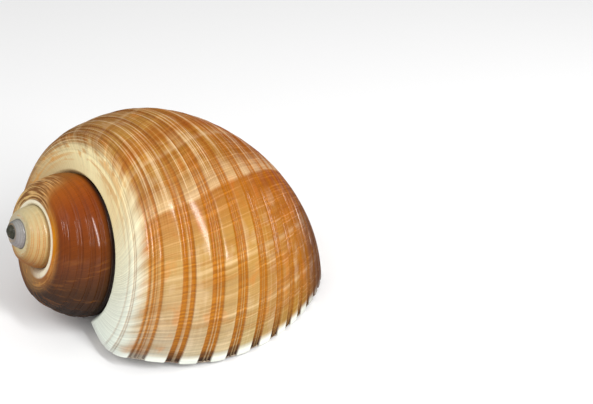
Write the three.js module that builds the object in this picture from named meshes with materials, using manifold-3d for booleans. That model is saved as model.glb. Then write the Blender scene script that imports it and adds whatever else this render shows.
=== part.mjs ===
// A tun shell lying on its mouth: one thin-walled, right-handed spiral shell, grown as one piece.
// Millimetres, +Z up. The shell's own axis runs from the tip of the spire (at the start) to the
// front end; the whole is then leaned and turned the way such a shell lies on a table.
import * as THREE from "three";
import Module from "manifold-3d";
import { mergeVertices } from "three/addons/utils/BufferGeometryUtils.js";

// The growing edge as it is at the lip: [out from the axis, along the axis from the tip].
// It starts at the suture, goes over the shoulder and the belly, and ends at the front end.
const EDGE = [
  [28.5, 25.5],
  [44, 27],
  [53, 40],
  [58.5, 55.5],
  [58.5, 71.5],
  [54.5, 87],
  [47.1, 101.7],
  [36.2, 113.4],
  [21.3, 120],
  [5, 119],
];
const EDGE_LENGTH = 145; // measured along the curve through those points

// How wide and how long the edge was at the lip and at each half turn back, as shares of the lip's.
const WIDE = [1, 0.638, 0.451, 0.284, 0.187, 0.126, 0.086, 0.057, 0.038];
const LONG = [1, 0.666, 0.39, 0.272, 0.181, 0.119, 0.08, 0.053, 0.035];

// Spiral ribs: flat cords parted by sunk bands, all measured along the edge from the suture.
const SHOULDER_POINTS = [0, 4.5, 8.5]; // on the plain shoulder before the first band
// The sunk bands, which stand closer towards the front end: [middle, half the width].
const BANDS = [
  [11.9, 1],
  [20.6, 3],
  [31.4, 2.4],
  [41.1, 2.3],
  [50, 2.2],
  [58.8, 2],
  [67.2, 1.9],
  [74.6, 1.7],
  [81.3, 1.5],
  [87.6, 1.4],
  [93.6, 1.3],
  [99.3, 1.2],
  [104.8, 1.1],
  [110, 1],
  [115.2, 1],
  [120.4, 1],
];
const BAND_DEPTH = 0.7;
const BAND_SIDE = 0.9; // width of a band's sloping side
const MOST_SIDE = 0.6; // of half the band's width, so that a narrow band still has a floor
const LEAST_FLOOR = 1.05; // a band with less than this half width is a plain groove

// How far round the axis the lip leads (+) or trails (-) its middle, in degrees, at the suture and
// at each eighth of the edge.
const LEAD = [35, 11, 2.2, -5, -10.5, -16, -20.5, -26.5, -32];

const WALL = 2.2; // at the lip; it thins with the whorls behind it
// The filled section closes along the axis, and back inside the whorl before.
const AXIS_GAP = 0.5;
const FILL_START = 19; // along the axis
const FILL_END = 116;
const FILL_INSIDE = { out: 16, along: 25, length: 0 };
const HOLLOW_REACH = [6, 131]; // the stretch of the edge that has the hollow inside it
const HOLLOW_SPACING = 7;
// The pillar round the axis: [along the axis, height of its middle over the axis, radius].
const PILLAR = [
  [30, 0, 3],
  [50, 0.5, 4],
  [70, 0, 5],
  [87, 0.8, 5.4],
  [99, 2, 4.2],
  [109, 2.6, 1.8],
];
// The hollow's side along the pillar: [out from the axis, along it, where that is on the edge].
const HOLLOW_SIDE = [
  [9, 111, 145],
  [5.5, 102, 123],
  [5, 80, 87],
  [4, 30, 14.5],
];
// A thin core that fills the axis where the swept sections don't quite meet.
const CORE = { start: 1, end: 60, startRadius: 0.25, endRadius: 0.8 };
const FASCIOLE = [128, 141]; // the raised band that runs back from the notch, along the edge
const FASCIOLE_HEIGHT = 1;
const FASCIOLE_SIDE = 3; // width of its sloping side
const NOTCH_RADIUS = 6; // the notch in the front end, where the siphon comes out
const NOTCH_PLACE = { out: 14, along: 122, length: EDGE_LENGTH };
const NOTCH_REACH = 40; // longer than the wall it cuts
const NUCLEUS_RADIUS = 1.9; // the smooth first whorl at the tip
const NUCLEUS_PLACE = [2.1, 0, 0.1];
const NUCLEUS_TILT = 7; // degrees, so that none of its edges runs along the axis
// How finely the round parts are cut: sides round, and steps along.
const PILLAR_SIDES = 12;
const PILLAR_STEPS = 10;
const CORE_SIDES = 8;
const NOTCH_SIDES = 20;
const NUCLEUS_SIDES = 14;
const NUCLEUS_RINGS = 9;

// The spiral is cut into steps, counted back from the lip.
const STEPS_A_TURN = 30;
const HOLLOW_STEPS = 21; // the hollow is open this far back
const HOLLOW_AHEAD = 3; // and runs on past the lip
const HALF_LAST = 15;
const WHOLE_LAST = 32; // the last whorl's ribs show this far back
const COVERED = 27; // from here back, a whorl lies inside the next
const OLDER = [48, 64]; // where the stretches of the whorls behind it end
const OLD_START = 80;
const OLD_OVERLAP = 2;
const OLD_MIDDLE = 100;
const SPIRAL_START = 120;
const OLD_STRIDE = 2;
const OLDER_RIBS = 66; // the older whorls are covered from here on, so they have ribs to here
const OLDER_SPACING = 16; // between the points of their covered part
const OLDEST_SPACING = 12;
const FULL_SPACING = 8;

const LEAN = 21.2; // degrees that the axis falls from the tip to the front end
const ROLL = 1.27; // degrees that it rolls towards the lip, until lip and belly both touch
const LIP_ANGLE = -66; // degrees from straight down, round the axis, to the middle of the lip

const TURN = 2 * Math.PI;
const rad = THREE.MathUtils.degToRad;

// A smooth value between evenly spaced ones, running on straight past both ends.
function between(values, x) {
  const last = values.length - 1;
  const at = (k) => {
    if (k < 0) return 2 * values[0] - values[-k];
    if (k > last) return 2 * values[last] - values[2 * last - k];
    return values[k];
  };
  const i = Math.min(Math.max(Math.floor(x), 0), last - 1);
  const f = x - i;
  const [a, b, c, d] = [at(i - 1), at(i), at(i + 1), at(i + 2)];
  return 0.5 * (2 * b + (c - a) * f + (2 * a - 5 * b + 4 * c - d) * f ** 2 + (3 * b - a - 3 * c + d) * f ** 3);
}

const EDGE_OUT = EDGE.map((p) => p[0]);
const EDGE_ALONG = EDGE.map((p) => p[1]);
const LOG_WIDE = WIDE.map(Math.log);
const LOG_LONG = LONG.map(Math.log);

// The edge at a length along it from the suture, moved inwards by depth.
function edgePoint(length, depth = 0) {
  const x = (length / EDGE_LENGTH) * (EDGE.length - 1);
  const step = 0.01;
  const out = between(EDGE_OUT, x);
  const along = between(EDGE_ALONG, x);
  const dOut = between(EDGE_OUT, x + step) - between(EDGE_OUT, x - step);
  const dAlong = between(EDGE_ALONG, x + step) - between(EDGE_ALONG, x - step);
  const size = Math.hypot(dOut, dAlong);
  return { out: out - (dAlong / size) * depth, along: along + (dOut / size) * depth, length };
}

// The turn by which the lip leads or trails at a length along the edge.
function lead(length) {
  return between(LEAD, (length / EDGE_LENGTH) * (LEAD.length - 1)) / 360;
}

// A point of the section, placed a number of turns from the lip (back is negative).
function place({ out, along, length }, turns) {
  const whole = turns + lead(length);
  const wide = Math.exp(between(LOG_WIDE, -2 * whole));
  const long = Math.exp(between(LOG_LONG, -2 * whole));
  const angle = rad(LIP_ANGLE) + TURN * whole;
  return [along * long, out * wide * Math.sin(angle), -out * wide * Math.cos(angle)];
}

// The outside of a section from the suture to the front end, ribbed as far as ribEnd.
function outside(ribEnd, plainStep) {
  const points = SHOULDER_POINTS.map((length) => edgePoint(length));
  for (const [middle, half] of BANDS) {
    if (middle > ribEnd) break;
    points.push(edgePoint(middle - half));
    if (half > LEAST_FLOOR) {
      const side = Math.min(BAND_SIDE, half * MOST_SIDE);
      points.push(edgePoint(middle - half + side, BAND_DEPTH), edgePoint(middle + half - side, BAND_DEPTH));
    } else {
      points.push(edgePoint(middle, BAND_DEPTH));
    }
    points.push(edgePoint(middle + half));
  }
  const [start, end] = FASCIOLE;
  for (let length = points.at(-1).length + plainStep; length < start; length += plainStep) {
    points.push(edgePoint(length));
  }
  points.push(edgePoint(start), edgePoint(start + FASCIOLE_SIDE, -FASCIOLE_HEIGHT));
  points.push(edgePoint(end - FASCIOLE_SIDE, -FASCIOLE_HEIGHT), edgePoint(end), edgePoint(EDGE_LENGTH));
  return points;
}

// A filled section: the outside, closed along the axis and back inside the whorl before.
function filledSection(ribEnd, plainStep) {
  const top = { out: AXIS_GAP, along: FILL_START, length: 0 };
  const front = { out: AXIS_GAP, along: FILL_END, length: EDGE_LENGTH };
  return [top, FILL_INSIDE, ...outside(ribEnd, plainStep), front];
}

// The hollow's section: inside the wall, round the pillar, and on into the whorl before.
function hollowSection() {
  const points = [{ ...FILL_INSIDE, along: EDGE[0][1] + 1.5 * WALL }];
  const [start, end] = HOLLOW_REACH;
  for (let length = start; length <= end; length += HOLLOW_SPACING) points.push(edgePoint(length, WALL));
  HOLLOW_SIDE.forEach(([out, along, length]) => points.push({ out, along, length }));
  return points;
}

const wasm = await Module();
wasm.setup();

// A closed three.js geometry as a solid that can be joined and cut, turned outside out.
function solid(geometry) {
  const bare = geometry.clone();
  bare.deleteAttribute("normal");
  bare.deleteAttribute("uv");
  const merged = mergeVertices(bare, 1e-4);
  const vertProperties = new Float32Array(merged.attributes.position.array);
  const triVerts = new Uint32Array(merged.index.array);
  const body = new wasm.Manifold(new wasm.Mesh({ numProp: 3, vertProperties, triVerts }));
  if (body.volume() > 0) return body;
  return new wasm.Manifold(new wasm.Mesh({ numProp: 3, vertProperties, triVerts: triVerts.reverse() }));
}

// A geometry whose rings of equal count are skinned one to the next, with both ends closed.
// flat gives the ring's outline in a plane, for filling the ends.
function skin(rings, flat) {
  const count = rings[0].length;
  const faces = [];
  const quad = (a, b, c, d) => faces.push(a, b, c, a, c, d);
  for (let i = 0; i + 1 < rings.length; i += 1) {
    for (let j = 0; j < count; j += 1) {
      const k = (j + 1) % count;
      quad(i * count + j, (i + 1) * count + j, (i + 1) * count + k, i * count + k);
    }
  }
  const far = (rings.length - 1) * count;
  const fill = THREE.ShapeUtils.triangulateShape(flat, []);
  const sameWay = THREE.ShapeUtils.area(fill[0].map((k) => flat[k])) * THREE.ShapeUtils.area(flat) > 0;
  for (const [a, b, c] of fill) {
    if (sameWay) faces.push(a, b, c, far + a, far + c, far + b);
    else faces.push(a, c, b, far + a, far + b, far + c);
  }
  const geometry = new THREE.BufferGeometry();
  geometry.setAttribute("position", new THREE.Float32BufferAttribute(rings.flat(2), 3));
  geometry.setIndex(faces);
  return geometry;
}

// A section swept round the axis between two step numbers, counted from the lip (back is negative).
// Every sweep keeps to the same steps, so that two that overlap share their surfaces.
function sweep(section, from, to, stride = 1) {
  const rings = [];
  for (let step = from; step <= to; step += stride) {
    rings.push(section.map((point) => place(point, step / STEPS_A_TURN)));
  }
  const flat = section.map((p) => new THREE.Vector2(p.along, p.out));
  return solid(skin(rings, flat));
}

// The pillar: a bar of round section that thins and rises to the front end.
function pillar() {
  const [along, height, radius] = [0, 1, 2].map((k) => PILLAR.map((row) => row[k]));
  const rings = [];
  for (let i = 0; i <= PILLAR_STEPS; i += 1) {
    const at = (i / PILLAR_STEPS) * (PILLAR.length - 1);
    const ring = [];
    for (let j = 0; j < PILLAR_SIDES; j += 1) {
      const angle = (TURN * j) / PILLAR_SIDES;
      const y = between(radius, at) * Math.sin(angle);
      const z = between(height, at) - between(radius, at) * Math.cos(angle);
      ring.push([between(along, at), y, z]);
    }
    rings.push(ring);
  }
  const flat = rings[0].map(([, y, z]) => new THREE.Vector2(y, z));
  return solid(skin(rings, flat));
}

function core() {
  const { start, end, startRadius, endRadius } = CORE;
  const rod = new THREE.CylinderGeometry(endRadius, startRadius, end - start, CORE_SIDES);
  return solid(rod.rotateZ(rad(-90)).translate((start + end) / 2, 0, 0));
}

// The notch in the front end, as the round bar that would lie in it.
function siphonNotch() {
  const bar = new THREE.CylinderGeometry(NOTCH_RADIUS, NOTCH_RADIUS, NOTCH_REACH, NOTCH_SIDES);
  const [x, y, z] = place(NOTCH_PLACE, 0);
  return solid(bar.rotateX(rad(LIP_ANGLE) + TURN * lead(EDGE_LENGTH)).translate(x, y, z));
}

function shellBody() {
  const full = filledSection(EDGE_LENGTH, FULL_SPACING);
  const older = filledSection(OLDER_RIBS, OLDER_SPACING);
  const oldest = filledSection(0, OLDEST_SPACING);
  const lastWhorl = sweep(full, -HALF_LAST, 0).add(sweep(full, -WHOLE_LAST, -HALF_LAST));
  const [near, far] = OLDER;
  const spire = sweep(older, -near, -WHOLE_LAST)
    .add(sweep(older, -far, -near))
    .add(sweep(older, -OLD_START, -far, OLD_STRIDE))
    .add(sweep(oldest, -OLD_MIDDLE, OLD_OVERLAP - OLD_START, OLD_STRIDE))
    .add(sweep(oldest, -SPIRAL_START, -OLD_MIDDLE, OLD_STRIDE));
  const behind = spire.add(sweep(full, -WHOLE_LAST, -COVERED));
  const hollow = sweep(hollowSection(), -HOLLOW_STEPS, HOLLOW_AHEAD).subtract(behind);
  const ball = new THREE.SphereGeometry(NUCLEUS_RADIUS, NUCLEUS_SIDES, NUCLEUS_RINGS).rotateX(rad(NUCLEUS_TILT));
  const nucleus = solid(ball.translate(...NUCLEUS_PLACE));
  const grown = lastWhorl.add(spire).subtract(hollow).add(pillar()).add(core()).add(nucleus);
  // The skin that holds the most is the shell; the others are slivers and pockets sealed inside it.
  const skins = grown.subtract(siphonNotch()).decompose();
  return skins.reduce((most, next) => (next.volume() > most.volume() ? next : most));
}

// A solid's surface as a geometry, set down on z = 0 with its middle over the origin.
function setDown(body) {
  const mesh = body.getMesh();
  const geometry = new THREE.BufferGeometry();
  geometry.setAttribute("position", new THREE.BufferAttribute(mesh.vertProperties, 3));
  geometry.setIndex(new THREE.BufferAttribute(mesh.triVerts, 1));
  geometry.rotateY(rad(LEAN)).rotateX(rad(ROLL));
  geometry.computeBoundingBox();
  const { min, max } = geometry.boundingBox;
  return geometry.translate(-(min.x + max.x) / 2, -(min.y + max.y) / 2, -min.z);
}

const part = new THREE.Group();
const finish = new THREE.MeshStandardMaterial({ color: 0xcda56e, roughness: 0.3, metalness: 0 });
const shell = new THREE.Mesh(setDown(shellBody()), finish);
shell.name = "shell";
part.add(shell);

export default part;
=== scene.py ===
"""The looks of a tun shell that lies on its mouth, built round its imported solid.

The shell is one thin wall that grew along a spiral. Its sizes are in millimetres in the shell's own
frame, where x runs along the axis from the tip of the spire to the front end, z is up and y points
away from the camera. The finished mesh is leaned, rolled and moved to where the solid lies, in
metres.

Places on the shell are given in two numbers: the length along the growing edge, in millimetres as it
is at the lip and counted from the suture, and the turns back from the lip.
"""

import logging
import math
from dataclasses import dataclass, field
from enum import Enum

import bpy
import numpy as np
from mathutils import Matrix, Vector


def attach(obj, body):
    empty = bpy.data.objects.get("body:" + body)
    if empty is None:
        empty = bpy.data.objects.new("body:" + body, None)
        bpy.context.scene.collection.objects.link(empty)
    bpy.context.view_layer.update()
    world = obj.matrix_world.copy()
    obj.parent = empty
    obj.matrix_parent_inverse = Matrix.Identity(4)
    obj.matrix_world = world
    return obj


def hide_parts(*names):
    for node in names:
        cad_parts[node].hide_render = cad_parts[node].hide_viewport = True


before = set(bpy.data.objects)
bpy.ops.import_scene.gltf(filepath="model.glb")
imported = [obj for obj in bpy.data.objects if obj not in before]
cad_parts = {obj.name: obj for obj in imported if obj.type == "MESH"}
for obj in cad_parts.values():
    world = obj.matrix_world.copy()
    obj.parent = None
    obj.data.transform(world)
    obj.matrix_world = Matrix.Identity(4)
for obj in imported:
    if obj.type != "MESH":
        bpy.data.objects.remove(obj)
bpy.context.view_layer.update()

LOG = logging.getLogger("tun_shell")
MILLIMETRE = 0.001
TURN = 2 * math.pi

Colour = tuple[int, int, int]
Place = tuple[float, float, float]
Riblet = tuple[float, float, float]
Pairs = tuple[tuple[float, float], ...]
Stops = tuple[tuple[float, Colour], ...]
Socket = bpy.types.NodeSocket


class Face(Enum):
    """Which finish a face of the shell takes, by its place in the mesh's list of materials."""

    OUTSIDE = 0
    INSIDE = 1


class Blend(Enum):
    """How one colour is laid over another."""

    COVER = "MIX"
    TINT = "MULTIPLY"


def between(values: tuple[float, ...], x: np.ndarray) -> np.ndarray:
    """Finds smooth values between evenly spaced ones, running on past both ends.

    Args:
        values: The known values, one at each whole number from 0.
        x: Where to find a value.

    Returns:
        The value at each x.
    """
    known = np.asarray(values, float)
    x = np.asarray(x, float)
    ends = np.concatenate(([2 * known[0] - known[1]], known, [2 * known[-1] - known[-2]]))
    i = np.clip(np.floor(x).astype(int), 0, len(known) - 2)
    f = x - i
    a, b, c, d = (ends[i + k] for k in range(4))
    bend = (2 * a - 5 * b + 4 * c - d) * f**2 + (3 * b - a - 3 * c + d) * f**3
    return 0.5 * (2 * b + (c - a) * f + bend)


def smooth_step(x: np.ndarray) -> np.ndarray:
    """Rises smoothly from 0 at x = 0 to 1 at x = 1."""
    x = np.clip(x, 0, 1)
    return x * x * (3 - 2 * x)


@dataclass(frozen=True)
class Spiral:
    """The growth of the shell: its edge at the lip, and how that edge shrinks back to the tip.

    The edge is given by evenly spaced points, and its shrinking at each half turn back.
    """

    edge_out: tuple[float, ...] = (28.5, 44, 53, 58.5, 58.5, 54.5, 47.1, 36.2, 21.3, 5)
    edge_along: tuple[float, ...] = (25.5, 27, 40, 55.5, 71.5, 87, 101.7, 113.4, 120, 119)
    edge_length: float = 145
    edge_step: float = 0.01
    wide: tuple[float, ...] = (1, 0.638, 0.451, 0.284, 0.187, 0.126, 0.086, 0.057, 0.038)
    long: tuple[float, ...] = (1, 0.666, 0.39, 0.272, 0.181, 0.119, 0.08, 0.053, 0.035)
    lead: tuple[float, ...] = (35, 11, 2.2, -5, -10.5, -16, -20.5, -26.5, -32)
    notch_middle: float = 136
    notch_half_width: float = 5
    notch_turns: float = 0.05
    lip_angle: float = -66
    lean: float = 21.2
    roll: float = 1.27
    tip: Place = (-53.23, 9.606, 41.293)

    def edge(self, length: np.ndarray, rise: np.ndarray | float = 0.0) -> tuple[np.ndarray, np.ndarray]:
        """Finds points of the edge at the lip.

        Args:
            length: Lengths along the edge from the suture.
            rise: How far outside the edge each point lies.

        Returns:
            The distances out from the axis and along it.
        """
        x = np.asarray(length, float) / self.edge_length * (len(self.edge_out) - 1)
        step = self.edge_step
        out, along = between(self.edge_out, x), between(self.edge_along, x)
        d_out = between(self.edge_out, x + step) - between(self.edge_out, x - step)
        d_along = between(self.edge_along, x + step) - between(self.edge_along, x - step)
        size = np.hypot(d_out, d_along)
        return out + d_along / size * rise, along - d_out / size * rise

    def lead_turns(self, length: np.ndarray) -> np.ndarray:
        """Finds how far the growing edge leads its middle round the axis.

        Args:
            length: Lengths along the edge from the suture.

        Returns:
            The lead at each length, in turns, with the notch in the front end cut back.
        """
        length = np.minimum(length, self.edge_length)
        x = length / self.edge_length * (len(self.lead) - 1)
        notch = np.exp(-(((length - self.notch_middle) / self.notch_half_width) ** 2))
        return between(self.lead, x) / 360 - self.notch_turns * notch

    def shares(self, whole: np.ndarray) -> tuple[np.ndarray, np.ndarray]:
        """Finds how wide and long the edge was, as shares of the lip's.

        Args:
            whole: Turns from the lip's middle, back being negative.

        Returns:
            The shares out from the axis and along it.
        """
        at = -2 * np.asarray(whole, float)
        return (
            np.exp(between(tuple(np.log(self.wide)), at)),
            np.exp(between(tuple(np.log(self.long)), at)),
        )

    def place(self, out: np.ndarray, along: np.ndarray, whole: np.ndarray) -> np.ndarray:
        """Turns plane points round the axis.

        Args:
            out: Distances out from the axis.
            along: Distances along it from the tip.
            whole: How far round each point is, in turns from the lip's middle.

        Returns:
            The points in the shell's own frame, one row each.
        """
        angle = math.radians(self.lip_angle) + TURN * whole
        return np.stack([along, out * np.sin(angle), -out * np.cos(angle)], -1)

    def set_down(self, points: np.ndarray) -> np.ndarray:
        """Leans, rolls and moves points to where the shell lies.

        Args:
            points: Points of the shell's own frame, one row each.

        Returns:
            The points in metres.
        """
        lean = Matrix.Rotation(math.radians(self.lean), 3, "Y")
        roll = Matrix.Rotation(math.radians(self.roll), 3, "X")
        return (points @ np.array(roll @ lean).T + np.array(self.tip)) * MILLIMETRE


@dataclass(frozen=True)
class Band:
    """One sunk band between two flat ribs, with the thin riblets that stand in it.

    A riblet is its place, half its width and its height as a share of the band's depth. All places
    and widths within the band are shares of its half width, out from its middle.
    """

    middle: float
    half: float
    depth: float = 1.0
    colour: float = 1.0
    riblets: tuple[Riblet, ...] = ((-0.1, 0.15, 0.85), (0.34, 0.14, 0.7))
    side: float = 0.2
    riblet_side: float = 0.6
    worn_line: float = 0.72
    worn_line_width: float = 0.3
    most_worn: float = 0.75
    column_shares: tuple[float, ...] = (-1.15, -1.0, -0.9, -0.8, -0.5, 0.7, 0.8, 0.9, 1.0, 1.15)
    riblet_columns: tuple[float, ...] = (-1.0, -0.55, 0.0, 0.55, 1.0)

    def within(self, length: np.ndarray) -> np.ndarray:
        """Finds how far each length along the edge lies within the band, riblets and all."""
        return smooth_step((1 - np.abs(length - self.middle) / self.half) / self.side)

    def profile(self, length: np.ndarray) -> np.ndarray:
        """Finds how much of the band's colour and depth shows between its riblets.

        Args:
            length: Lengths along the edge.

        Returns:
            The share at each length, from 0 to 1.
        """
        u = (length - self.middle) / self.half
        found = self.within(length)
        for place, width, height in self.riblets:
            stands = smooth_step((1 - np.abs(u - place) / width) / self.riblet_side)
            found = found * (1 - height * stands)
        return found

    def bare(self, length: np.ndarray) -> np.ndarray:
        """Finds how much of the band's colour is lost where it is old and only its two sides show."""
        u = np.abs(length - self.middle) / self.half
        return self.most_worn * (1 - smooth_step(1 - np.abs(u - self.worn_line) / self.worn_line_width))

    def columns(self) -> list[float]:
        """Lists the lengths along the edge that draw the band's sides and riblets."""
        steps = set(self.column_shares)
        for place, width, _ in self.riblets:
            steps |= {place + width * k for k in self.riblet_columns}
        return [self.middle + self.half * step for step in sorted(steps)]


@dataclass(frozen=True)
class Ribs:
    """The flat spiral ribs and the sunk bands between them, measured along the edge."""

    bands: tuple[Band, ...] = (
        Band(8.4, 0.5, 0.25, 0.25, ()),
        Band(11.9, 0.9, 0.4, 0.45, ((0.0, 0.3, 0.8),)),
        Band(20.6, 3.0, 0.8, 0.9, ((-0.45, 0.17, 1.0), (0.02, 0.12, 0.5), (0.36, 0.22, 1.0))),
        Band(31.4, 2.4, riblets=((0.05, 0.26, 0.8),)),
        Band(41.1, 2.3),
        Band(50.0, 2.2),
        Band(58.8, 2.0),
        Band(67.2, 1.9),
        Band(74.6, 1.7),
        Band(81.3, 1.5, riblets=((0.1, 0.2, 0.9),)),
        Band(87.6, 1.4, riblets=((0.1, 0.2, 0.9),)),
        Band(93.6, 1.3, riblets=((0.0, 0.2, 0.8),)),
        Band(99.3, 1.2, riblets=((0.0, 0.2, 0.8),)),
        Band(104.8, 1.1, riblets=()),
        Band(110.0, 1.0, riblets=()),
        Band(115.2, 1.0, riblets=()),
        Band(120.4, 1.0, riblets=()),
    )
    depth: float = 0.62
    full_depth_half: float = 1.5
    floor_reach: float = 1.05
    floor_side: float = 0.35
    floor_share: float = 0.45
    crown: float = 0.05
    full_crown_gap: float = 4
    fasciole: tuple[float, float] = (126, 143)
    fasciole_height: float = 1.0
    fasciole_side: float = 0.5
    rim_lengths: tuple[float, ...] = (0.0, 0.3, 0.7, 1.2, 1.8, 2.5)
    front_start: float = 123
    front_points: int = 24
    widest_gap: float = 1.5
    least_gap: float = 0.1
    worn_from: float = 0.15
    worn_over: float = 0.12

    def colour(self, length: np.ndarray, back: np.ndarray) -> np.ndarray:
        """Finds how much of the bands' colour shows, which wears to thin lines further from the lip.

        Args:
            length: Lengths along the edge.
            back: Turns back from the lip.

        Returns:
            The share at each point, from 0 to 1.
        """
        worn = smooth_step((back - self.worn_from) / self.worn_over)
        shown = [band.colour * band.profile(length) * (1 - worn * band.bare(length)) for band in self.bands]
        return np.max(shown, 0)

    def sunk(self, length: np.ndarray) -> np.ndarray:
        """Finds how far each length lies within a sunk band, riblets and all."""
        return np.max([band.colour * band.within(length) for band in self.bands], 0)

    def rise(self, length: np.ndarray) -> np.ndarray:
        """Finds how far the surface stands over the plain edge.

        Args:
            length: Lengths along the edge.

        Returns:
            The height at each length, below 0 in the bands.
        """
        found = np.zeros_like(length)
        for band in self.bands:
            u = np.abs(length - band.middle) / band.half
            floor = smooth_step((self.floor_reach - u) / self.floor_side)
            size = self.depth * band.depth * min(1.0, band.half / self.full_depth_half)
            found -= size * floor * (self.floor_share + (1 - self.floor_share) * band.profile(length))
        for before, after in zip(self.bands, self.bands[1:]):
            first, last = before.middle + before.half, after.middle - after.half
            x = np.clip((length - first) / (last - first), 0, 1)
            found += self.crown * min(1.0, (last - first) / self.full_crown_gap) * np.sin(math.pi * x)
        start, end = self.fasciole
        u = (length - (start + end) / 2) / ((end - start) / 2)
        return found + self.fasciole_height * smooth_step((1 - np.abs(u)) / self.fasciole_side)

    def lengths(self, edge_length: float) -> np.ndarray:
        """Lists the lengths along the edge where the fine mesh has a point.

        Args:
            edge_length: The length of the whole edge.

        Returns:
            The lengths in order, none further apart than the widest gap.
        """
        found = list(self.rim_lengths)
        for band in self.bands:
            found += band.columns()
        found += list(np.linspace(self.front_start, edge_length, self.front_points))
        spaced = [0.0]
        for length in sorted(found):
            steps = max(1, math.ceil((length - spaced[-1]) / self.widest_gap))
            if length - spaced[-1] > self.least_gap:
                spaced += list(np.linspace(spaced[-1], length, steps + 1)[1:])
        return np.array(spaced)


@dataclass
class Surface:
    """A grid of points: rows from the lip back to the tip, columns from the suture to the axis."""

    points: np.ndarray
    edge: np.ndarray
    turn: np.ndarray
    start: int = 0

    def index(self) -> np.ndarray:
        """Numbers the points, row by row, from the surface's start."""
        rows, columns = self.points.shape[:2]
        return self.start + np.arange(rows * columns).reshape(rows, columns)

    def end(self) -> int:
        """Finds the number that follows the surface's last point."""
        return self.start + self.points[..., 0].size

    def tube_faces(self) -> list[tuple[int, ...]]:
        """Lists the faces of a closed tube whose rows are its rings.

        Returns:
            A four-sided face for each step round and along, and one face for each end.
        """
        index = self.index()
        onward = np.roll(index, -1, 1)
        quads = np.stack([index[:-1], index[1:], onward[1:], onward[:-1]], -1).reshape(-1, 4)
        ends = [tuple(map(int, index[0])), tuple(map(int, index[-1, ::-1]))]
        return [tuple(map(int, quad)) for quad in quads] + ends


def zip_lines(one: np.ndarray, other: np.ndarray) -> list[tuple[int, int, int]]:
    """Joins two lines of points with triangles.

    Args:
        one: The point numbers of the first line.
        other: The point numbers of the second line, running the same way.

    Returns:
        The triangles as point numbers.
    """
    faces = []
    i = j = 0
    while i < len(one) - 1 or j < len(other) - 1:
        next_one = (i + 1) / (len(one) - 1)
        next_other = (j + 1) / (len(other) - 1)
        if j == len(other) - 1 or (i < len(one) - 1 and next_one <= next_other):
            faces.append((int(one[i + 1]), int(one[i]), int(other[j])))
            i += 1
        else:
            faces.append((int(one[i]), int(other[j]), int(other[j + 1])))
            j += 1
    return faces


@dataclass(frozen=True)
class Side:
    """One side of the wall: the points by which it turns in at the suture, and those by the axis.

    Points at the suture are lengths on along the whorl before and out from it, where 1 out is the
    height of the rim. Points by the axis are distances out from it and along it, at the lip.
    """

    tuck: Pairs
    end: Pairs


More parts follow.
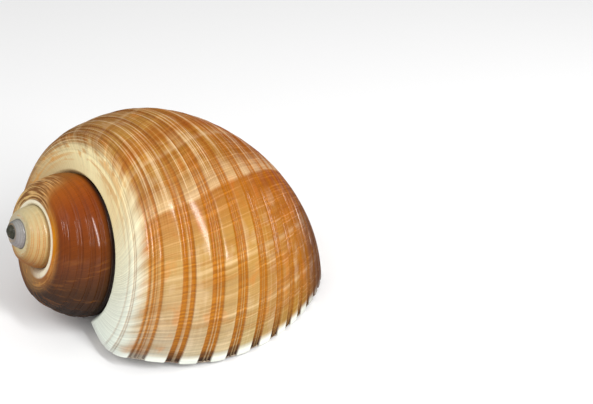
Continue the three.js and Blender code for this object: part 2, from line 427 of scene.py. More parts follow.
@dataclass
class Shell:
    """The shell: one thin wall, wound round its axis, with the pillar it leaves there.

    The lip's rows are in millimetres back from it, and the other rows are given by the turn where a
    stretch ends and its rows a turn. The inner lengths are the first, the end and the step. A mark
    stands for the length along the edge at a point that doesn't lie on the edge.
    """

    spiral: Spiral = field(default_factory=Spiral)
    ribs: Ribs = field(default_factory=Ribs)
    outer: Side = Side(
        ((3.2, -0.7), (2.6, 0.02), (2.2, 0.1), (1.5, 0.25), (0.8, 0.5), (0.25, 0.78)),
        ((3.4, 118.4), (2, 116.5), (1, 112), (0.5, 100), (0.4, 80), (0.3, 60), (0.2, 44)),
    )
    inner: Side = Side(
        ((5.4, -0.7), (5.3, 0.1), (5, 0.8), (4.4, 2.2)),
        ((9, 111), (6.5, 106), (5.5, 102), (5.2, 92), (5, 80), (4.6, 62), (4.2, 50), (4, 46)),
    )
    inner_lengths: tuple[float, float, float] = (7, 132, 1.25)
    inner_relief: float = 0.5
    wall: float = 2.2
    lip_thickness: float = 0.9
    lip_taper: float = 14
    lip_round: float = 0.7
    lip_back: float = 0.07
    inset: float = 0.19
    scallop: float = 0.5
    scallop_fade: float = 2.5
    lip_turn_length: float = 364
    lip_rows: tuple[float, ...] = (0, 0.07, 0.22, 0.45, 0.7, 1.2, 2, 3, 4.2)
    row_steps: tuple[tuple[float, int], ...] = ((-1.1, 80), (-2, 56), (-3, 40), (-4.15, 30))
    suture_search: tuple[float, float] = (35, 95)
    suture_points: int = 400
    tuck_mark: float = 0.4
    axis_mark: float = 146
    pillar_along: tuple[float, ...] = (30, 50, 70, 87, 99, 109)
    pillar_height: tuple[float, ...] = (0, 0.5, 0, 0.8, 2, 2.6)
    pillar_radius: tuple[float, ...] = (3, 4, 5, 5.4, 4.2, 1.8)
    pillar_rings: int = 48
    pillar_sides: int = 40
    nucleus_radius: float = 1.9
    nucleus_middle: Place = (2.15, 0, 0.1)
    nucleus_rings: int = 18
    nucleus_sides: int = 32
    nucleus_mark: float = 20
    nucleus_turn: float = -4.2

    def turns(self) -> np.ndarray:
        """Lists the turns, back from the lip, where the outside has a row of points."""
        found = [-s / self.lip_turn_length for s in self.lip_rows]
        start = found[-1]
        for end, steps in self.row_steps:
            count = max(2, round((start - end) * steps))
            found += list(np.linspace(start, end, count + 1)[1:])
            start = end
        return np.array(found)

    def suture(self, whole: np.ndarray) -> tuple[np.ndarray, np.ndarray, np.ndarray, np.ndarray]:
        """Finds where the shoulder meets the whorl before.

        Args:
            whole: Turns from the lip's middle, one for each row.

        Returns:
            The meeting point, the direction on towards the front end and the direction outwards,
            each as (out, along) rows, and how far the rim stands out from the meeting point.
        """
        length = np.linspace(*self.suture_search, self.suture_points)
        out, along = self.spiral.edge(length)
        wide_before, long_before = self.spiral.shares(whole - 1)
        line = np.stack([out * wide_before[:, None], along * long_before[:, None]], -1)
        wide, long = self.spiral.shares(whole)
        rim = np.stack([self.spiral.edge_out[0] * wide, self.spiral.edge_along[0] * long], -1)
        nearest = np.linalg.norm(line - rim[:, None], axis=2).argmin(1)
        rows = np.arange(len(whole))
        on = np.gradient(line, axis=1)[rows, nearest]
        on /= np.linalg.norm(on, axis=1, keepdims=True)
        meeting, outwards = line[rows, nearest], np.stack([on[:, 1], -on[:, 0]], -1)
        return meeting, on, outwards, ((rim - meeting) * outwards).sum(1)

    def tuck(self, turns: np.ndarray, side: Side) -> np.ndarray:
        """Places the points by which the wall turns in at the suture.

        Args:
            turns: The turn of each row.
            side: The side of the wall.

        Returns:
            The points, by row and column.
        """
        whole = turns + self.spiral.lead_turns(np.zeros(1))
        meeting, on, out, rim = self.suture(whole)
        wide, long = self.spiral.shares(whole)
        size = np.sqrt(wide * long)[:, None, None]
        steps = np.array(side.tuck)
        above, below = steps[:, 1] * rim[:, None], steps[:, 1] * size[:, 0]
        rise = np.where(steps[:, 1] > 0, above, below)[..., None]
        flat = meeting[:, None] + size * steps[:, :1] * on[:, None] + rise * out[:, None]
        return self.spiral.place(flat[..., 0], flat[..., 1], np.repeat(whole[:, None], len(steps), 1))

    def sheet(
        self, turns: np.ndarray, side: Side, lengths: np.ndarray, rise: np.ndarray, moved: np.ndarray
    ) -> Surface:
        """Winds one side of the wall round the axis.

        Args:
            turns: The turn of each row.
            side: The side's points at the suture and by the axis.
            lengths: The lengths along the edge of the columns between them.
            rise: How far each of those points lies outside the edge, by row and column.
            moved: How far each is moved on round the axis, in turns, by row and column.

        Returns:
            The surface.
        """
        first = self.tuck(turns, side)
        out, along = self.spiral.edge(lengths[None], rise)
        whole = turns[:, None] + self.spiral.lead_turns(lengths)[None] + moved
        wide, long = self.spiral.shares(whole)
        middle = self.spiral.place(out * wide, along * long, whole)
        end_out, end_along = (np.array([point[k] for point in side.end])[None] for k in range(2))
        whole = turns[:, None] + self.spiral.lead_turns(np.array([self.spiral.edge_length]))
        whole = np.repeat(whole, len(side.end), 1)
        wide, long = self.spiral.shares(whole)
        last = self.spiral.place(end_out * wide, end_along * long, whole)
        points = np.concatenate([first, middle, last], 1)
        before = np.linspace(-len(side.tuck), -1, len(side.tuck)) * self.tuck_mark
        edge = np.concatenate([before, lengths, np.full(len(side.end), self.axis_mark)])
        return Surface(
            points,
            np.repeat(edge[None], len(turns), 0),
            np.repeat(turns[:, None], points.shape[1], 1),
        )

    def rounding(self, back: np.ndarray) -> np.ndarray:
        """Finds how far the lip's rounding has drawn in, as a share, at lengths back from the lip."""
        return 1 - np.sqrt(1 - np.clip(1 - back / self.lip_round, 0, 1) ** 2)

    def outside(self) -> Surface:
        """Builds the outer side of the wall, whose lip is drawn back where a band ends.

        Returns:
            The surface.
        """
        turns = self.turns()
        lengths = self.ribs.lengths(self.spiral.edge_length)
        back = -turns[:, None] * self.lip_turn_length
        ribs = self.ribs.rise(lengths)[None] - self.inset
        drop = self.lip_thickness / 2 * self.rounding(back)
        drawn = self.scallop * np.clip(ribs / self.ribs.depth, -1, 0) - self.lip_back
        drawn = np.exp(-back / self.scallop_fade) * drawn / self.lip_turn_length
        return self.sheet(turns, self.outer, lengths, ribs - drop, drawn)

    def inside(self) -> Surface:
        """Builds the inner side of the wall, with half as many rows.

        Returns:
            The surface.
        """
        turns = self.turns()
        at_lip = len(self.lip_rows)
        turns = turns[np.r_[0:at_lip, at_lip : len(turns) - 1 : 2, len(turns) - 1]]
        lengths = np.arange(*self.inner_lengths)
        back = -turns[:, None] * self.lip_turn_length
        wall = self.lip_thickness + (self.wall - self.lip_thickness) * smooth_step(back / self.lip_taper)
        lift = self.lip_thickness / 2 * self.rounding(back)
        ribs = self.inner_relief * self.ribs.rise(lengths)[None] - self.inset
        drawn = -np.exp(-back / self.scallop_fade) * self.lip_back / self.lip_turn_length
        return self.sheet(turns, self.inner, lengths, ribs + lift - wall, drawn)

    def wall_faces(self, outer: Surface, inner: Surface) -> tuple[list[tuple[int, ...]], list[Face]]:
        """Lists the faces of both sides of the wall and of the strips that close its four edges.

        Args:
            outer: The outer side.
            inner: The inner side.

        Returns:
            The faces as point numbers, and the finish of each.
        """
        faces, kinds = [], []
        for surface, kind in ((outer, Face.OUTSIDE), (inner, Face.INSIDE)):
            index = surface.index()
            corners = [index[:-1, :-1], index[:-1, 1:], index[1:, 1:], index[1:, :-1]]
            quads = np.stack(corners if kind is Face.OUTSIDE else corners[::-1], -1).reshape(-1, 4)
            faces += [tuple(map(int, quad)) for quad in quads]
            kinds += [kind] * len(quads)
        a, b = outer.index(), inner.index()
        strips = (
            (a[0], b[0], Face.INSIDE),
            (a[:, -1], b[:, -1], Face.INSIDE),
            (a[-1, ::-1], b[-1, ::-1], Face.OUTSIDE),
            (a[::-1, 0], b[::-1, 0], Face.INSIDE),
        )
        for one, other, kind in strips:
            strip = zip_lines(one, other)
            faces += strip
            kinds += [kind] * len(strip)
        return faces, kinds

    def pillar(self, start: int) -> Surface:
        """Builds the pillar, a bar of round section that thins towards both ends.

        Args:
            start: The number of its first point.

        Returns:
            Its rings.
        """
        at = np.linspace(0, len(self.pillar_along) - 1, self.pillar_rings)[:, None]
        angle = np.linspace(0, TURN, self.pillar_sides, endpoint=False)[None]
        radius = between(self.pillar_radius, at)
        height = between(self.pillar_height, at)
        along = between(self.pillar_along, at) + 0 * angle
        points = np.stack([along, radius * np.sin(angle), height - radius * np.cos(angle)], -1)
        return Surface(points, np.full(along.shape, self.axis_mark), 0 * along, start)

    def nucleus(self, start: int) -> Surface:
        """Builds the smooth first whorl as a ball.

        Args:
            start: The number of its first point.

        Returns:
            Its rings.
        """
        polar = (np.arange(self.nucleus_rings) + 0.5)[:, None] * math.pi / self.nucleus_rings
        angle = np.linspace(0, TURN, self.nucleus_sides, endpoint=False)[None]
        across = np.sin(polar)
        ball = np.stack([-np.cos(polar) + 0 * angle, across * np.sin(angle), -across * np.cos(angle)], -1)
        points = ball * self.nucleus_radius + np.array(self.nucleus_middle)
        edge, turn = (np.full(points.shape[:2], mark) for mark in (self.nucleus_mark, self.nucleus_turn))
        return Surface(points, edge, turn, start)

    def mark(self, mesh: bpy.types.Mesh, parts: tuple[Surface, ...]) -> None:
        """Writes on each point what its colours go by.

        Args:
            mesh: The mesh of the shell.
            parts: Its surfaces, in the order of their points.
        """
        edge = np.concatenate([part.edge.ravel() for part in parts])
        back = -np.concatenate([part.turn.ravel() for part in parts])
        band = self.ribs.colour(edge, back)
        held = {"edge": edge, "turns_back": back, "band": band, "sunk": self.ribs.sunk(edge)}
        for name, values in held.items():
            attribute = mesh.attributes.new(name, "FLOAT", "POINT")
            attribute.data.foreach_set("value", values.astype(np.float32))

    def build(self) -> bpy.types.Object:
        """Builds the shell as one mesh object in place of its CAD node.

        Returns:
            The object, riding on the root body.
        """
        outer, inner = self.outside(), self.inside()
        inner.start = outer.end()
        pillar = self.pillar(inner.end())
        nucleus = self.nucleus(pillar.end())
        parts = (outer, inner, pillar, nucleus)
        faces, kinds = self.wall_faces(outer, inner)
        for tube, kind in ((pillar, Face.INSIDE), (nucleus, Face.OUTSIDE)):
            found = tube.tube_faces()
            faces += found
            kinds += [kind] * len(found)
        points = np.concatenate([part.points.reshape(-1, 3) for part in parts])
        mesh = bpy.data.meshes.new("shell_wall")
        mesh.from_pydata(self.spiral.set_down(points).tolist(), [], faces)
        mesh.polygons.foreach_set("material_index", [kind.value for kind in kinds])
        mesh.polygons.foreach_set("use_smooth", [True] * len(faces))
        self.mark(mesh, parts)
        mesh.update()
        shell = bpy.data.objects.new("shell_wall", mesh)
        bpy.context.scene.collection.objects.link(shell)
        shell.data.materials.append(OutsideFinish().build())
        shell.data.materials.append(InsideFinish().build())
        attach(shell, "root")
        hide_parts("shell")
        return shell


def linear(colour: tuple[float, ...]) -> tuple[float, float, float, float]:
    """Turns a colour of 0 to 255, as a screen shows it, into the light that Blender works in."""
    shares = [c / 255 for c in colour]
    return tuple(c / 12.92 if c <= 0.04045 else ((c + 0.055) / 1.055) ** 2.4 for c in shares) + (1.0,)


@dataclass(frozen=True)
class Gloss:
    """How a surface shines: its own gloss, and that of a clear coat over it."""

    roughness: float
    specular: float
    coat: float = 0.0
    coat_roughness: float = 0.14
    coat_ior: float = 2.2


class Graph:
    """Writes the nodes of one material."""

    def __init__(self, name: str) -> None:
        """Starts a material with only its shader."""
        self.material = bpy.data.materials.new(name)
        self.material.use_nodes = True
        self.nodes = self.material.node_tree.nodes
        self.links = self.material.node_tree.links
        self.shader = self.nodes["Principled BSDF"]

    def put(self, socket: Socket, value: Socket | Colour | float) -> None:
        """Links a socket to another one, or sets its value.

        Args:
            socket: The socket to feed.
            value: Another socket, a number, or a screen colour.
        """
        if isinstance(value, Socket):
            self.links.new(value, socket)
        else:
            socket.default_value = linear(value) if isinstance(value, tuple) else value

    def attribute(self, name: str) -> Socket:
        """Reads a number that the mesh holds at each point."""
        node = self.nodes.new("ShaderNodeAttribute")
        node.attribute_name = name
        return node.outputs["Fac"]

    def math(self, operation: str, *values: Socket | float) -> Socket:
        """Works out one number from others.

        Args:
            operation: Blender's name for the sum.
            values: The numbers, in its order.

        Returns:
            The result.
        """
        node = self.nodes.new("ShaderNodeMath")
        node.operation = operation
        for socket, value in zip(node.inputs, values):
            self.put(socket, value)
        return node.outputs[0]

    def product(self, first: Socket, *others: Socket | float) -> Socket:
        """Multiplies numbers together."""
        for other in others:
            first = self.math("MULTIPLY", first, other)
        return first

    def step(self, value: Socket, start: float, full: float) -> Socket:
        """Rises smoothly from 0 where the value is start to 1 where it is full.

        Args:
            value: The value to go by.
            start: Where the share is 0, which may be the larger number.
            full: Where it is 1.

        Returns:
            The share.
        """
        node = self.nodes.new("ShaderNodeMapRange")
        node.interpolation_type = "SMOOTHSTEP"
        self.put(node.inputs["Value"], value)
        node.inputs["From Min"].default_value = min(start, full)
        node.inputs["From Max"].default_value = max(start, full)
        node.inputs["To Min"].default_value = float(start > full)
        node.inputs["To Max"].default_value = float(start < full)
        return node.outputs["Result"]

    def ramp(self, value: Socket, stops: Stops | Pairs, reach: float = 1.0) -> Socket:
        """Gives a colour, or a share as a shade of grey, by a value.

        Args:
            value: A value from 0 to reach.
            stops: Places, each with the colour or share there.
            reach: The value at the ramp's far end.

        Returns:
            The colour.
        """
        node = self.nodes.new("ShaderNodeValToRGB")
        elements = node.color_ramp.elements
        while len(elements) < len(stops):
            elements.new(0.5)
        for element, (place, colour) in zip(elements, sorted(stops)):
            element.position = place / reach
            element.color = linear(colour) if isinstance(colour, tuple) else (colour, colour, colour, 1)
        self.put(node.inputs["Fac"], self.math("DIVIDE", value, reach))
        return node.outputs["Color"]

    def mix(
        self, share: Socket | float, under: Socket | Colour, over: Socket | Colour, blend: Blend = Blend.COVER
    ) -> Socket:
        """Lays one colour over another.

        Args:
            share: How much of it is laid, from 0 to 1.
            under: The colour below.
            over: The colour laid over it.
            blend: How it is laid.

        Returns:
            The colour that shows.
        """
        node = self.nodes.new("ShaderNodeMix")
        node.data_type, node.blend_type = "RGBA", blend.value
        for socket, value in zip((node.inputs[0], node.inputs[6], node.inputs[7]), (share, under, over)):
            self.put(socket, value)
        return node.outputs[2]

    def grey(self, light: Socket) -> Socket:
        """Makes a grey of one brightness."""
        node = self.nodes.new("ShaderNodeCombineColor")
        for socket in node.inputs:
            self.put(socket, light)
        return node.outputs[0]

    def bump(self, height: Socket, strength: float, distance: float) -> None:
        """Lets a height raise the shader's surface.

        Args:
            height: The height, from 0 to 1.
            strength: How much of it shows.
            distance: The height of 1, in metres.
        """
        node = self.nodes.new("ShaderNodeBump")
        node.inputs["Strength"].default_value = strength
        node.inputs["Distance"].default_value = distance
        self.put(node.inputs["Height"], height)
        self.links.new(node.outputs["Normal"], self.shader.inputs["Normal"])

    def shade(self, colour: Socket | Colour, gloss: Gloss) -> None:
        """Gives the shader its colour and gloss.

        Args:
            colour: The colour of the surface.
            gloss: How it shines.
        """
        self.put(self.shader.inputs["Base Color"], colour)
        self.shader.inputs["Roughness"].default_value = gloss.roughness
        self.shader.inputs["Specular IOR Level"].default_value = gloss.specular
        self.shader.inputs["Coat Weight"].default_value = gloss.coat
        self.shader.inputs["Coat Roughness"].default_value = gloss.coat_roughness
        self.shader.inputs["Coat IOR"].default_value = gloss.coat_ior


@dataclass(frozen=True)
class Pattern:
    """A soft random pattern over the shell.

    It changes about across times in a millimetre along the edge, and along times in a turn.
    """

    across: float
    along: float
    detail: float = 3.0
    seed: float = 0.0

    def draw(self, g: Graph, edge: Socket, turns: Socket) -> Socket:
        """Draws the pattern.

        Args:
            g: The material.
            edge: The length along the edge.
            turns: The turns back from the lip.

        Returns:
            A value of about 0.5 that varies from 0 to 1.
        """
        vector = g.nodes.new("ShaderNodeCombineXYZ")
        g.put(vector.inputs[0], g.product(edge, self.across))
        g.put(vector.inputs[1], g.product(turns, self.along))
        g.put(vector.inputs[2], self.seed)
        node = g.nodes.new("ShaderNodeTexNoise")
        node.inputs["Scale"].default_value = 1.0
        node.inputs["Detail"].default_value = self.detail
        g.links.new(vector.outputs[0], node.inputs["Vector"])
        return node.outputs["Fac"]


@dataclass(frozen=True)
class Mark:
    """One kind of coloured mark, which rises from none at start to its strength at full."""

    start: float
    full: float
    colour: Colour
    strength: float = 1.0
    blend: Blend = Blend.COVER

    def lay(self, g: Graph, under: Socket, value: Socket, where: Socket | float = 1.0) -> Socket:
        """Lays the mark over a colour.

        Args:
            g: The material.
            under: The colour below.
            value: The value that start and full are read from.
            where: How much of the mark may show.

        Returns:
            The colour that shows.
        """
        share = g.product(g.step(value, self.start, self.full), where, self.strength)
        return g.mix(share, under, self.colour, self.blend)


@dataclass(frozen=True)
class Stretch:
    """Where something shows: it comes in over the first two values and goes over the last two."""

    start: float
    full: float
    going: float
    gone: float

    def share(self, g: Graph, value: Socket) -> Socket:
        """Finds how much it shows at a value."""
        return g.product(g.step(value, self.start, self.full), g.step(value, self.gone, self.going))


@dataclass(frozen=True)
class Traces:
    """What the outside's colours go by at each point.

    Grown is the turns back from the lip, swayed as growth lines are. Recent is 1 on the last half
    turn and 0 on the older whorls, and fine, streak and patch are patterns.
    """

    edge: Socket
    back: Socket
    band: Socket
    sunk: Socket
    grown: Socket
    recent: Socket
    fine: Socket
    streak: Socket
    patch: Socket


@dataclass(frozen=True)
class OutsideFinish:
    """The glossy outside: pale ribs, orange-brown bands, and the older whorls' darker colours.

    The colours are screen colours of 0 to 255. Those of the ribs, bands and shoulder are given by
    turns back from the lip, and the front tint by the length along the edge in millimetres.
    """

    oldest: float = 4.2
    ribs: Stops = (
        (0.0, (171, 169, 152)),
        (0.03, (172, 154, 126)),
        (0.06, (174, 146, 104)),
        (0.12, (182, 145, 85)),
        (0.17, (178, 137, 76)),
        (0.2, (160, 115, 54)),
        (0.26, (178, 128, 48)),
        (0.34, (158, 114, 54)),
        (0.42, (136, 94, 36)),
        (0.52, (156, 116, 66)),
        (0.66, (140, 90, 40)),
        (0.8, (96, 54, 22)),
        (0.9, (22, 10, 2)),
        (1.0, (66, 34, 4)),
        (1.09, (104, 48, 4)),
        (1.2, (124, 54, 6)),
        (1.27, (150, 76, 12)),
        (1.3, (140, 82, 26)),
        (1.4, (146, 102, 50)),
        (1.6, (200, 160, 110)),
        (1.9, (140, 90, 40)),
        (2.0, (184, 148, 92)),
        (2.12, (194, 168, 118)),
        (2.3, (200, 184, 140)),
        (2.6, (196, 186, 160)),
        (2.95, (146, 140, 140)),
        (3.3, (150, 150, 146)),
        (3.6, (60, 62, 50)),
        (4.2, (42, 44, 32)),
    )
    bands: Stops = (
        (0.0, (140, 84, 14)),
        (0.05, (172, 108, 8)),
        (0.17, (176, 106, 8)),
        (0.26, (150, 84, 18)),
        (0.4, (118, 70, 30)),
        (0.7, (90, 46, 16)),
        (0.9, (34, 18, 8)),
        (1.2, (104, 44, 6)),
        (1.34, (180, 110, 36)),
        (1.9, (176, 104, 28)),
        (2.1, (206, 120, 26)),
        (2.35, (214, 176, 100)),
        (2.9, (104, 96, 94)),
    )
    band_strength: Pairs = (
        (0.0, 1.0),
        (0.18, 0.92),
        (0.28, 0.7),
        (0.5, 0.6),
        (0.8, 0.4),
        (1.0, 0.3),
        (1.25, 0.3),
        (1.4, 0.5),
        (1.95, 0.7),
        (2.1, 0.85),
        (2.3, 0.2),
        (2.9, 0.5),
    )
    shoulder: Stops = (
        (0.0, (238, 246, 234)),
        (0.1, (238, 240, 220)),
        (0.17, (250, 246, 212)),
        (0.25, (252, 232, 178)),
        (0.36, (250, 236, 184)),
        (0.5, (212, 188, 140)),
        (0.7, (170, 120, 60)),
        (0.9, (150, 110, 60)),
        (1.02, (150, 88, 24)),
        (1.1, (200, 120, 16)),
        (1.2, (224, 142, 24)),
        (1.27, (184, 116, 44)),
        (1.33, (206, 160, 100)),
        (1.5, (224, 186, 120)),
        (1.8, (210, 190, 140)),
        (2.2, (222, 210, 170)),
        (2.8, (166, 162, 156)),
        (3.6, (74, 74, 62)),
    )
    front_tint: Stops = (
        (0.0, (255, 255, 255)),
        (26.0, (255, 255, 255)),
        (44.0, (248, 238, 208)),
        (56.0, (248, 230, 178)),
        (64.0, (232, 196, 128)),
        (78.0, (228, 176, 60)),
        (90.0, (196, 134, 34)),
        (104.0, (176, 116, 34)),
        (125.0, (214, 180, 130)),
        (146.0, (246, 238, 222)),
    )
    front_reach: float = 146
    tinted: tuple[float, float] = (0.9, 0.5)
    recent: tuple[float, float] = (0.8, 0.5)

    sway: Pattern = Pattern(0.06, 8.0)
    sway_turns: float = 0.004
    fine: Pattern = Pattern(0.035, 480.0, 4.0, 1.0)
    streak: Pattern = Pattern(0.03, 70.0, 4.0, 5.0)
    patch: Pattern = Pattern(0.16, 30.0, 4.0, 9.0)
    spiral: Pattern = Pattern(1.5, 6.0, 4.0, 13.0)
    stripes: Pattern = Pattern(0.55, 9.0, 3.0, 3.0)
    flecks: Pattern = Pattern(0.3, 60.0, 3.0, 4.0)
    relief: Pattern = Pattern(0.2, 620.0, 2.0, 7.0)
    relief_strength: float = 0.5
    relief_height: float = 0.0005

    orange_streaks: Mark = Mark(0.5, 0.62, (228, 188, 112), 0.4, Blend.TINT)
    orange_spots: Mark = Mark(0.54, 0.68, (196, 116, 30), 0.4)
    pale_spots: Mark = Mark(0.46, 0.34, (226, 204, 172), 0.15)
    dark_threads: Mark = Mark(0.5, 0.6, (216, 168, 104), 1.0, Blend.TINT)
    pale_threads: Mark = Mark(0.47, 0.36, (230, 204, 166))
    threads_older: tuple[float, float] = (0.14, 0.2)
    threads_least: float = 0.08
    threads_more: float = 0.4
    growth_lines: Mark = Mark(0.5, 0.7, (232, 206, 168))
    lines_younger: tuple[float, float] = (0.24, 0.15)
    lines_least: float = 0.06
    lines_more: float = 0.1
    pale_stops: Pairs = (
        (0.0, 0.0),
        (0.048, 0.0),
        (0.05, 0.25),
        (0.053, 0.0),
        (0.1, 0.0),
        (0.102, 0.3),
        (0.105, 0.0),
        (0.1745, 0.0),
        (0.1765, 0.55),
        (0.18, 0.3),
        (0.205, 0.0),
        (0.237, 0.0),
        (0.239, 0.35),
        (0.243, 0.0),
        (0.33, 0.0),
        (0.333, 0.3),
        (0.338, 0.0),
        (0.39, 0.0),
        (0.393, 0.3),
        (0.398, 0.0),
    )
    pale_stop: Colour = (232, 206, 162)
    dark_stops: Pairs = (
        (0.0, 0.0),
        (0.12, 0.0),
        (0.15, 0.45),
        (0.174, 0.6),
        (0.176, 0.0),
        (0.25, 0.0),
        (0.262, 0.6),
        (0.285, 0.0),
    )
    dark_stop: Colour = (226, 170, 90)

    shoulder_older: tuple[float, float] = (0.1, 0.34)
    shoulder_marked: tuple[float, float] = (1.0, 7.0)
    shoulder_lines: Mark = Mark(0.48, 0.6, (212, 150, 72), 0.65)
    shoulder_flecks: Mark = Mark(0.56, 0.68, (214, 146, 60), 0.6)
    striped: Stretch = Stretch(1.27, 1.32, 1.5, 1.75)
    striped_reach: tuple[float, float] = (44.0, 30.0)
    brown_stripes: Mark = Mark(0.42, 0.56, (104, 56, 18), 0.85)
    rimmed: Stretch = Stretch(0.86, 1.02, 1.6, 1.8)
    white_rim: Mark = Mark(3.4, 1.8, (246, 236, 208))
    shoulder_reach: tuple[float, float] = (24.0, 15.0)
    shoulder_ragged: float = 9.0
    shoulder_narrows: tuple[float, float] = (0.2, 0.4)
    shoulder_narrower: float = 3.0
    older_reach: tuple[float, float] = (15.0, 4.0)

    band_lines: Mark = Mark(0.7, 0.4, (228, 216, 190), 1.0, Blend.TINT)
    riblets_younger: tuple[float, float] = (0.3, 0.15)
    riblets_coloured: float = 0.4
    lip_ragged: float = 0.006
    riblets_at_lip: float = 0.6
    lip_dark: Mark = Mark(0.026, 0.003, (36, 22, 12), 0.95)
    lip_white: Mark = Mark(0.018, 0.008, (224, 228, 218))

    chestnut: Stretch = Stretch(0.7, 0.86, 1.22, 1.36)
    # Painted highlight: lighter streaks laid on part of the chestnut whorl in place of glints.
    chestnut_glint_reach: tuple[float, float] = (1.2, 0.96)
    chestnut_glints: Mark = Mark(0.54, 0.66, (150, 88, 26), 0.35)
    # Painted shade: near-black along the chestnut whorl's foot by the suture, where the next whorl's shoulder
    # overhangs it.
    chestnut_suture_shade: Mark = Mark(50.0, 62.0, (30, 14, 6))
    front: Stretch = Stretch(80.0, 100.0, 104.0, 118.0)
    front_dark: Mark = Mark(0.2, 0.08, (74, 36, 8), 0.8)
    least_light: float = 0.65
    more_light: float = 0.7
    gloss: Gloss = Gloss(0.3, 0.0, 0.13)

    def build(self) -> bpy.types.Material:
        """Writes the material.

        Returns:
            The material.
        """
        g = Graph("shell_outside")
        t = self.traces(g)
        colour = g.ramp(t.back, self.ribs, self.oldest)
        tint = g.ramp(t.edge, self.front_tint, self.front_reach)
        colour = g.mix(g.step(t.back, *self.tinted), colour, tint, Blend.TINT)
        for draw in (self.draw_growth, self.draw_shoulder, self.draw_bands, self.draw_darker):
            colour = draw(g, t, colour)
        g.shade(colour, self.gloss)
        g.bump(self.relief.draw(g, t.edge, t.grown), self.relief_strength, self.relief_height)
        return g.material

    def traces(self, g: Graph) -> Traces:
        """Reads the numbers that the mesh holds and draws the patterns over them."""
        edge, back, band, sunk = (g.attribute(name) for name in ("edge", "turns_back", "band", "sunk"))
        level = g.math("SUBTRACT", back, self.sway_turns / 2)
        grown = g.math("MULTIPLY_ADD", self.sway.draw(g, edge, back), self.sway_turns, level)
        patterns = (pattern.draw(g, edge, grown) for pattern in (self.fine, self.streak, self.patch))
        return Traces(edge, back, band, sunk, grown, g.step(back, *self.recent), *patterns)

    def draw_growth(self, g: Graph, t: Traces, colour: Socket) -> Socket:
        """Draws the streaks, spots, spiral threads, growth lines and growth stops of the last whorl.

        Args:
            g: The material.
            t: What the colours go by.
            colour: The colour below.

        Returns:
            The colour that shows.
        """
        colour = self.orange_streaks.lay(g, colour, t.streak, t.recent)
        colour = self.orange_spots.lay(g, colour, t.patch, t.recent)
        colour = self.pale_spots.lay(g, colour, t.patch, t.recent)
        spiral = self.spiral.draw(g, t.edge, t.grown)
        older = g.step(t.grown, *self.threads_older)
        share = g.product(t.recent, g.math("MULTIPLY_ADD", older, self.threads_more, self.threads_least))
        colour = self.dark_threads.lay(g, colour, spiral, share)
        colour = self.pale_threads.lay(g, colour, spiral, share)
        younger = g.step(t.grown, *self.lines_younger)
        share = g.product(t.recent, g.math("MULTIPLY_ADD", younger, self.lines_more, self.lines_least))
        colour = self.growth_lines.lay(g, colour, t.fine, share)
        colour = g.mix(g.ramp(t.grown, self.pale_stops), colour, self.pale_stop)
        return g.mix(g.ramp(t.grown, self.dark_stops), colour, self.dark_stop, Blend.TINT)

    def draw_shoulder(self, g: Graph, t: Traces, colour: Socket) -> Socket:
        """Draws the pale shoulder by the suture, with lines, flecks and its white rim where it is older.

        Args:
            g: The material.
            t: What the colours go by.
            colour: The colour below.

        Returns:
            The colour that shows.
        """
        pale = g.ramp(t.back, self.shoulder, self.oldest)
        stripes = self.stripes.draw(g, t.edge, t.grown)
        flecks = self.flecks.draw(g, t.edge, t.grown)
        marked = g.product(g.step(t.back, *self.shoulder_older), g.step(t.edge, *self.shoulder_marked))
        pale = self.shoulder_lines.lay(g, pale, stripes, marked)
        pale = self.shoulder_flecks.lay(g, pale, flecks, marked)
        striped = self.striped.share(g, t.back)
        pale = self.brown_stripes.lay(g, pale, stripes, striped)
        pale = self.white_rim.lay(g, pale, t.edge, self.rimmed.share(g, t.back))
        narrower = g.step(t.back, *self.shoulder_narrows)
        reach = g.math("MULTIPLY_ADD", narrower, self.shoulder_narrower, t.edge)
        reach = g.math("MULTIPLY_ADD", t.streak, self.shoulder_ragged, reach)
        young = g.product(g.step(reach, *self.shoulder_reach), t.recent)
        striped = g.product(striped, g.step(t.edge, *self.striped_reach))
        old = g.math("MAXIMUM", g.step(t.edge, *self.older_reach), striped)
        old = g.product(old, g.math("SUBTRACT", 1.0, t.recent))
        return g.mix(g.math("ADD", young, old), colour, pale)

    def draw_bands(self, g: Graph, t: Traces, colour: Socket) -> Socket:
        """Draws the sunk bands, dark at the lip, and the white ends of the ribs between them.

        Args:
            g: The material.
            t: What the colours go by.
            colour: The colour below.

        Returns:
            The colour that shows.
        """
        strength = g.ramp(t.back, self.band_strength, self.oldest)
        band = self.band_lines.lay(g, g.ramp(t.back, self.bands, self.oldest), t.fine)
        riblets = g.product(t.sunk, g.step(t.back, *self.riblets_younger), self.riblets_coloured)
        colour = g.mix(g.product(g.math("MAXIMUM", t.band, riblets), strength), colour, band)
        from_lip = g.math("MULTIPLY_ADD", t.fine, self.lip_ragged, t.back)
        share = g.math("MAXIMUM", t.band, g.product(t.sunk, self.riblets_at_lip))
        colour = self.lip_dark.lay(g, colour, from_lip, share)
        return self.lip_white.lay(g, colour, from_lip, g.math("SUBTRACT", 1.0, t.sunk))

    def draw_darker(self, g: Graph, t: Traces, colour: Socket) -> Socket:
        """Draws the chestnut whorl's painted glints and the painted shade along its foot by the suture, and
        shades the front end and growth lines.

        Args:
            g: The material.
            t: What the colours go by.
            colour: The colour below.

        Returns:
            The colour that shows.
        """
        chestnut = self.chestnut.share(g, t.back)
        # Painted glints: lighter streaks on the chestnut whorl stand in for highlights.
        glint_share = g.product(chestnut, g.step(t.back, *self.chestnut_glint_reach))
        colour = self.chestnut_glints.lay(g, colour, t.streak, glint_share)
        # Painted shade darkens the chestnut whorl next to the suture.
        colour = self.chestnut_suture_shade.lay(g, colour, t.edge, chestnut)
        colour = self.front_dark.lay(g, colour, t.back, self.front.share(g, t.edge))
        light = g.math("MULTIPLY_ADD", t.fine, self.more_light, self.least_light)
        return g.mix(1.0, colour, g.grey(light), Blend.TINT)


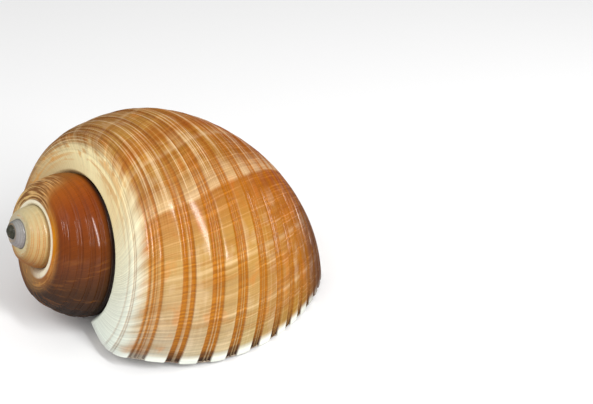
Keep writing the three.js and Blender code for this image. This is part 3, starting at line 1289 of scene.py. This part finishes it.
@dataclass(frozen=True)
class InsideFinish:
    """The smooth porcelain-like inside, the pillar and the edge of the lip."""

    colour: Colour = (236, 228, 210)
    clouds: Pattern = Pattern(0.05, 9.0, 3.0, 2.0)
    stain: Mark = Mark(0.4, 0.7, (206, 160, 104), 0.5)
    lip_bands: Mark = Mark(0.05, 0.0, (120, 66, 24), 0.8)
    gloss: Gloss = Gloss(0.2, 0.4)

    def build(self) -> bpy.types.Material:
        """Writes the material.

        Returns:
            The material.
        """
        g = Graph("shell_inside")
        edge, back, band = (g.attribute(name) for name in ("edge", "turns_back", "band"))
        colour = self.stain.lay(g, self.colour, self.clouds.draw(g, edge, back))
        g.shade(self.lip_bands.lay(g, colour, back, band), self.gloss)
        return g.material


@dataclass(frozen=True)
class FloorFinish:
    """The pale, dull floor."""

    colour: Colour = (252, 252, 252)
    gloss: Gloss = Gloss(0.9, 0.2)

    def build(self) -> bpy.types.Material:
        """Writes the material."""
        g = Graph("floor")
        g.shade(self.colour, self.gloss)
        return g.material


@dataclass(frozen=True)
class Lamp:
    """One soft, flat lamp: its angles in degrees, its sizes in metres and its power in watts.

    The bearing is 0 straight in front of the shell and grows to the right.
    """

    name: str
    bearing: float
    height: float
    distance: float
    width: float
    tall: float
    power: float

    def build(self, target: Vector) -> None:
        """Hangs the lamp.

        Args:
            target: The point that it shines at.
        """
        turn, rise = math.radians(self.bearing), math.radians(self.height)
        towards = Vector((math.cos(rise) * math.sin(turn), -math.cos(rise) * math.cos(turn), math.sin(rise)))
        light = bpy.data.lights.new(self.name, "AREA")
        light.shape = "RECTANGLE"
        light.size, light.size_y = self.width, self.tall
        light.energy = self.power
        lamp = bpy.data.objects.new(self.name, light)
        lamp.location = target + self.distance * towards
        lamp.rotation_euler = (-towards).to_track_quat("-Z", "Y").to_euler()
        bpy.context.scene.collection.objects.link(lamp)


@dataclass
class Studio:
    """A pale floor, soft lights and the camera at the photograph's angle.

    The camera's place is in millimetres, and the floor and the lamps' target are in metres.
    """

    floor_size: float = 3.0
    surroundings: float = 0.64
    target: Place = (0, 0, 0.03)
    lamps: tuple[Lamp, ...] = (
        Lamp("strip", 8.0, 34.0, 0.7, 0.075, 0.55, 4.0),
        Lamp("fill", -75.0, 50.0, 0.8, 0.5, 0.5, 1.2),
    )
    camera_place: Place = (-123.01, -226.41, 183.74)
    camera_right: Place = (0.7829, -0.622, -0.0115)
    camera_away: Place = (0.5329, 0.6801, -0.5035)
    lens: float = 52.49
    sensor_width: float = 36
    clip_start: float = 0.01

    def build_floor(self) -> None:
        """Lays the floor under the shell."""
        half = self.floor_size / 2
        mesh = bpy.data.meshes.new("floor")
        corners = [(-half, -half, 0), (half, -half, 0), (half, half, 0), (-half, half, 0)]
        mesh.from_pydata(corners, [], [(0, 1, 2, 3)])
        floor = bpy.data.objects.new("floor", mesh)
        bpy.context.scene.collection.objects.link(floor)
        mesh.materials.append(FloorFinish().build())

    def build_lights(self) -> None:
        """Lights the shell softly from all round, from in front and from the left."""
        world = bpy.data.worlds.new("studio")
        world.use_nodes = True
        background = world.node_tree.nodes["Background"]
        background.inputs["Color"].default_value = (1, 1, 1, 1)
        background.inputs["Strength"].default_value = self.surroundings
        bpy.context.scene.world = world
        for lamp in self.lamps:
            lamp.build(Vector(self.target))

    def build_camera(self) -> None:
        """Puts the camera where the photograph was taken from."""
        right, away = Vector(self.camera_right), Vector(self.camera_away)
        up = right.cross(away)
        camera = bpy.data.cameras.new("camera")
        camera.lens = self.lens
        camera.sensor_width = self.sensor_width
        camera.clip_start = self.clip_start
        holder = bpy.data.objects.new("camera", camera)
        turned = Matrix((right, up, -away)).transposed().to_4x4()
        holder.matrix_world = Matrix.Translation(Vector(self.camera_place) * MILLIMETRE) @ turned
        bpy.context.scene.collection.objects.link(holder)
        bpy.context.scene.camera = holder

    def build(self) -> None:
        """Builds the floor, the lights and the camera."""
        self.build_floor()
        self.build_lights()
        self.build_camera()


def main() -> None:
    """Builds the studio and the shell, and reports each piece."""
    logging.basicConfig(level=logging.INFO, format="%(name)s %(message)s")
    bpy.context.scene.view_settings.view_transform = "Standard"
    Studio().build()
    for piece in (Shell().build(),):
        mesh = piece.data
        triangles = sum(len(face.vertices) - 2 for face in mesh.polygons)
        LOG.info("%s: %d points, %d triangles", piece.name, len(mesh.vertices), triangles)


if __name__ == "__main__":
    main()
